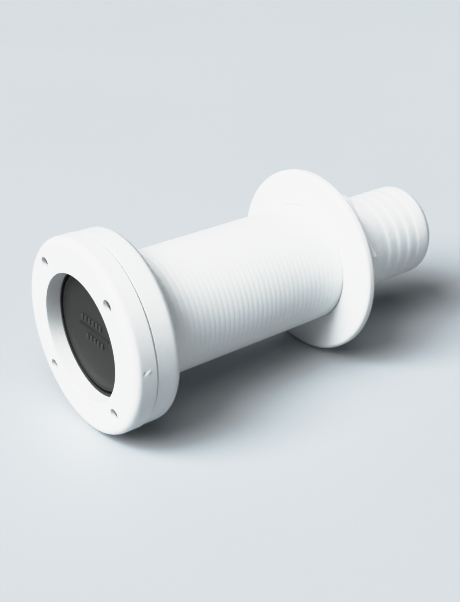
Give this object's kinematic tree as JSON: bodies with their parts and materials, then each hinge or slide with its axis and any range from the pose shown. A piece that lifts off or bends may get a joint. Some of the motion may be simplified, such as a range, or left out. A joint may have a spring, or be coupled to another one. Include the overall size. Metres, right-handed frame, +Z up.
{
  "type": "thru hull fitting",
  "caption": "White plastic through-hull drain fitting with a screwed face ring, a rubber non-return flap, a threaded tube with a flanged octagonal nut, and a ribbed hose tail.",
  "frame": {"origin": "on the pipe's axis, in the plane of the flange's rear face, which seats on the outside of the hull", "axes": "+Y along the pipe, inboard from the face ring to the hose tail; +Z up, towards the flap's hinge; +X sideways"},
  "size_m": [0.0756, 0.163, 0.0756],
  "materials": {
    "moulded_plastic": "satin white moulded nylon",
    "ring_plastic": "satin white moulded nylon",
    "nut_plastic": "satin white moulded nylon",
    "gasket_rubber": "matt black rubber",
    "flap_rubber": "matt dark grey rubber",
    "screw_steel": "plain stainless"
  },
  "bodies": {
    "hull_body": {"hull_body": "moulded_plastic", "face_ring": "ring_plastic", "face_screw_1": "screw_steel", "face_screw_2": "screw_steel", "face_screw_3": "screw_steel", "face_screw_4": "screw_steel", "flap_gasket": "gasket_rubber"},
    "flap": {"flap_disc": "flap_rubber"},
    "nut": {"flange_nut": "nut_plastic"}
  },
  "joints": [
    {"name": "flap_swing", "type": "hinge", "parent": "hull_body", "child": "flap", "pos_m": [0, -0.0119, 0.02], "axis": [-1, 0, 0], "range_deg": [0, 33], "stiffness_Nm_per_rad": 0.002, "springref_deg": -5.73},
    {"name": "nut_travel", "type": "slide", "parent": "hull_body", "child": "nut", "axis": [0, 1, 0], "range_m": [-0.0825, 0.003]}
  ]
}
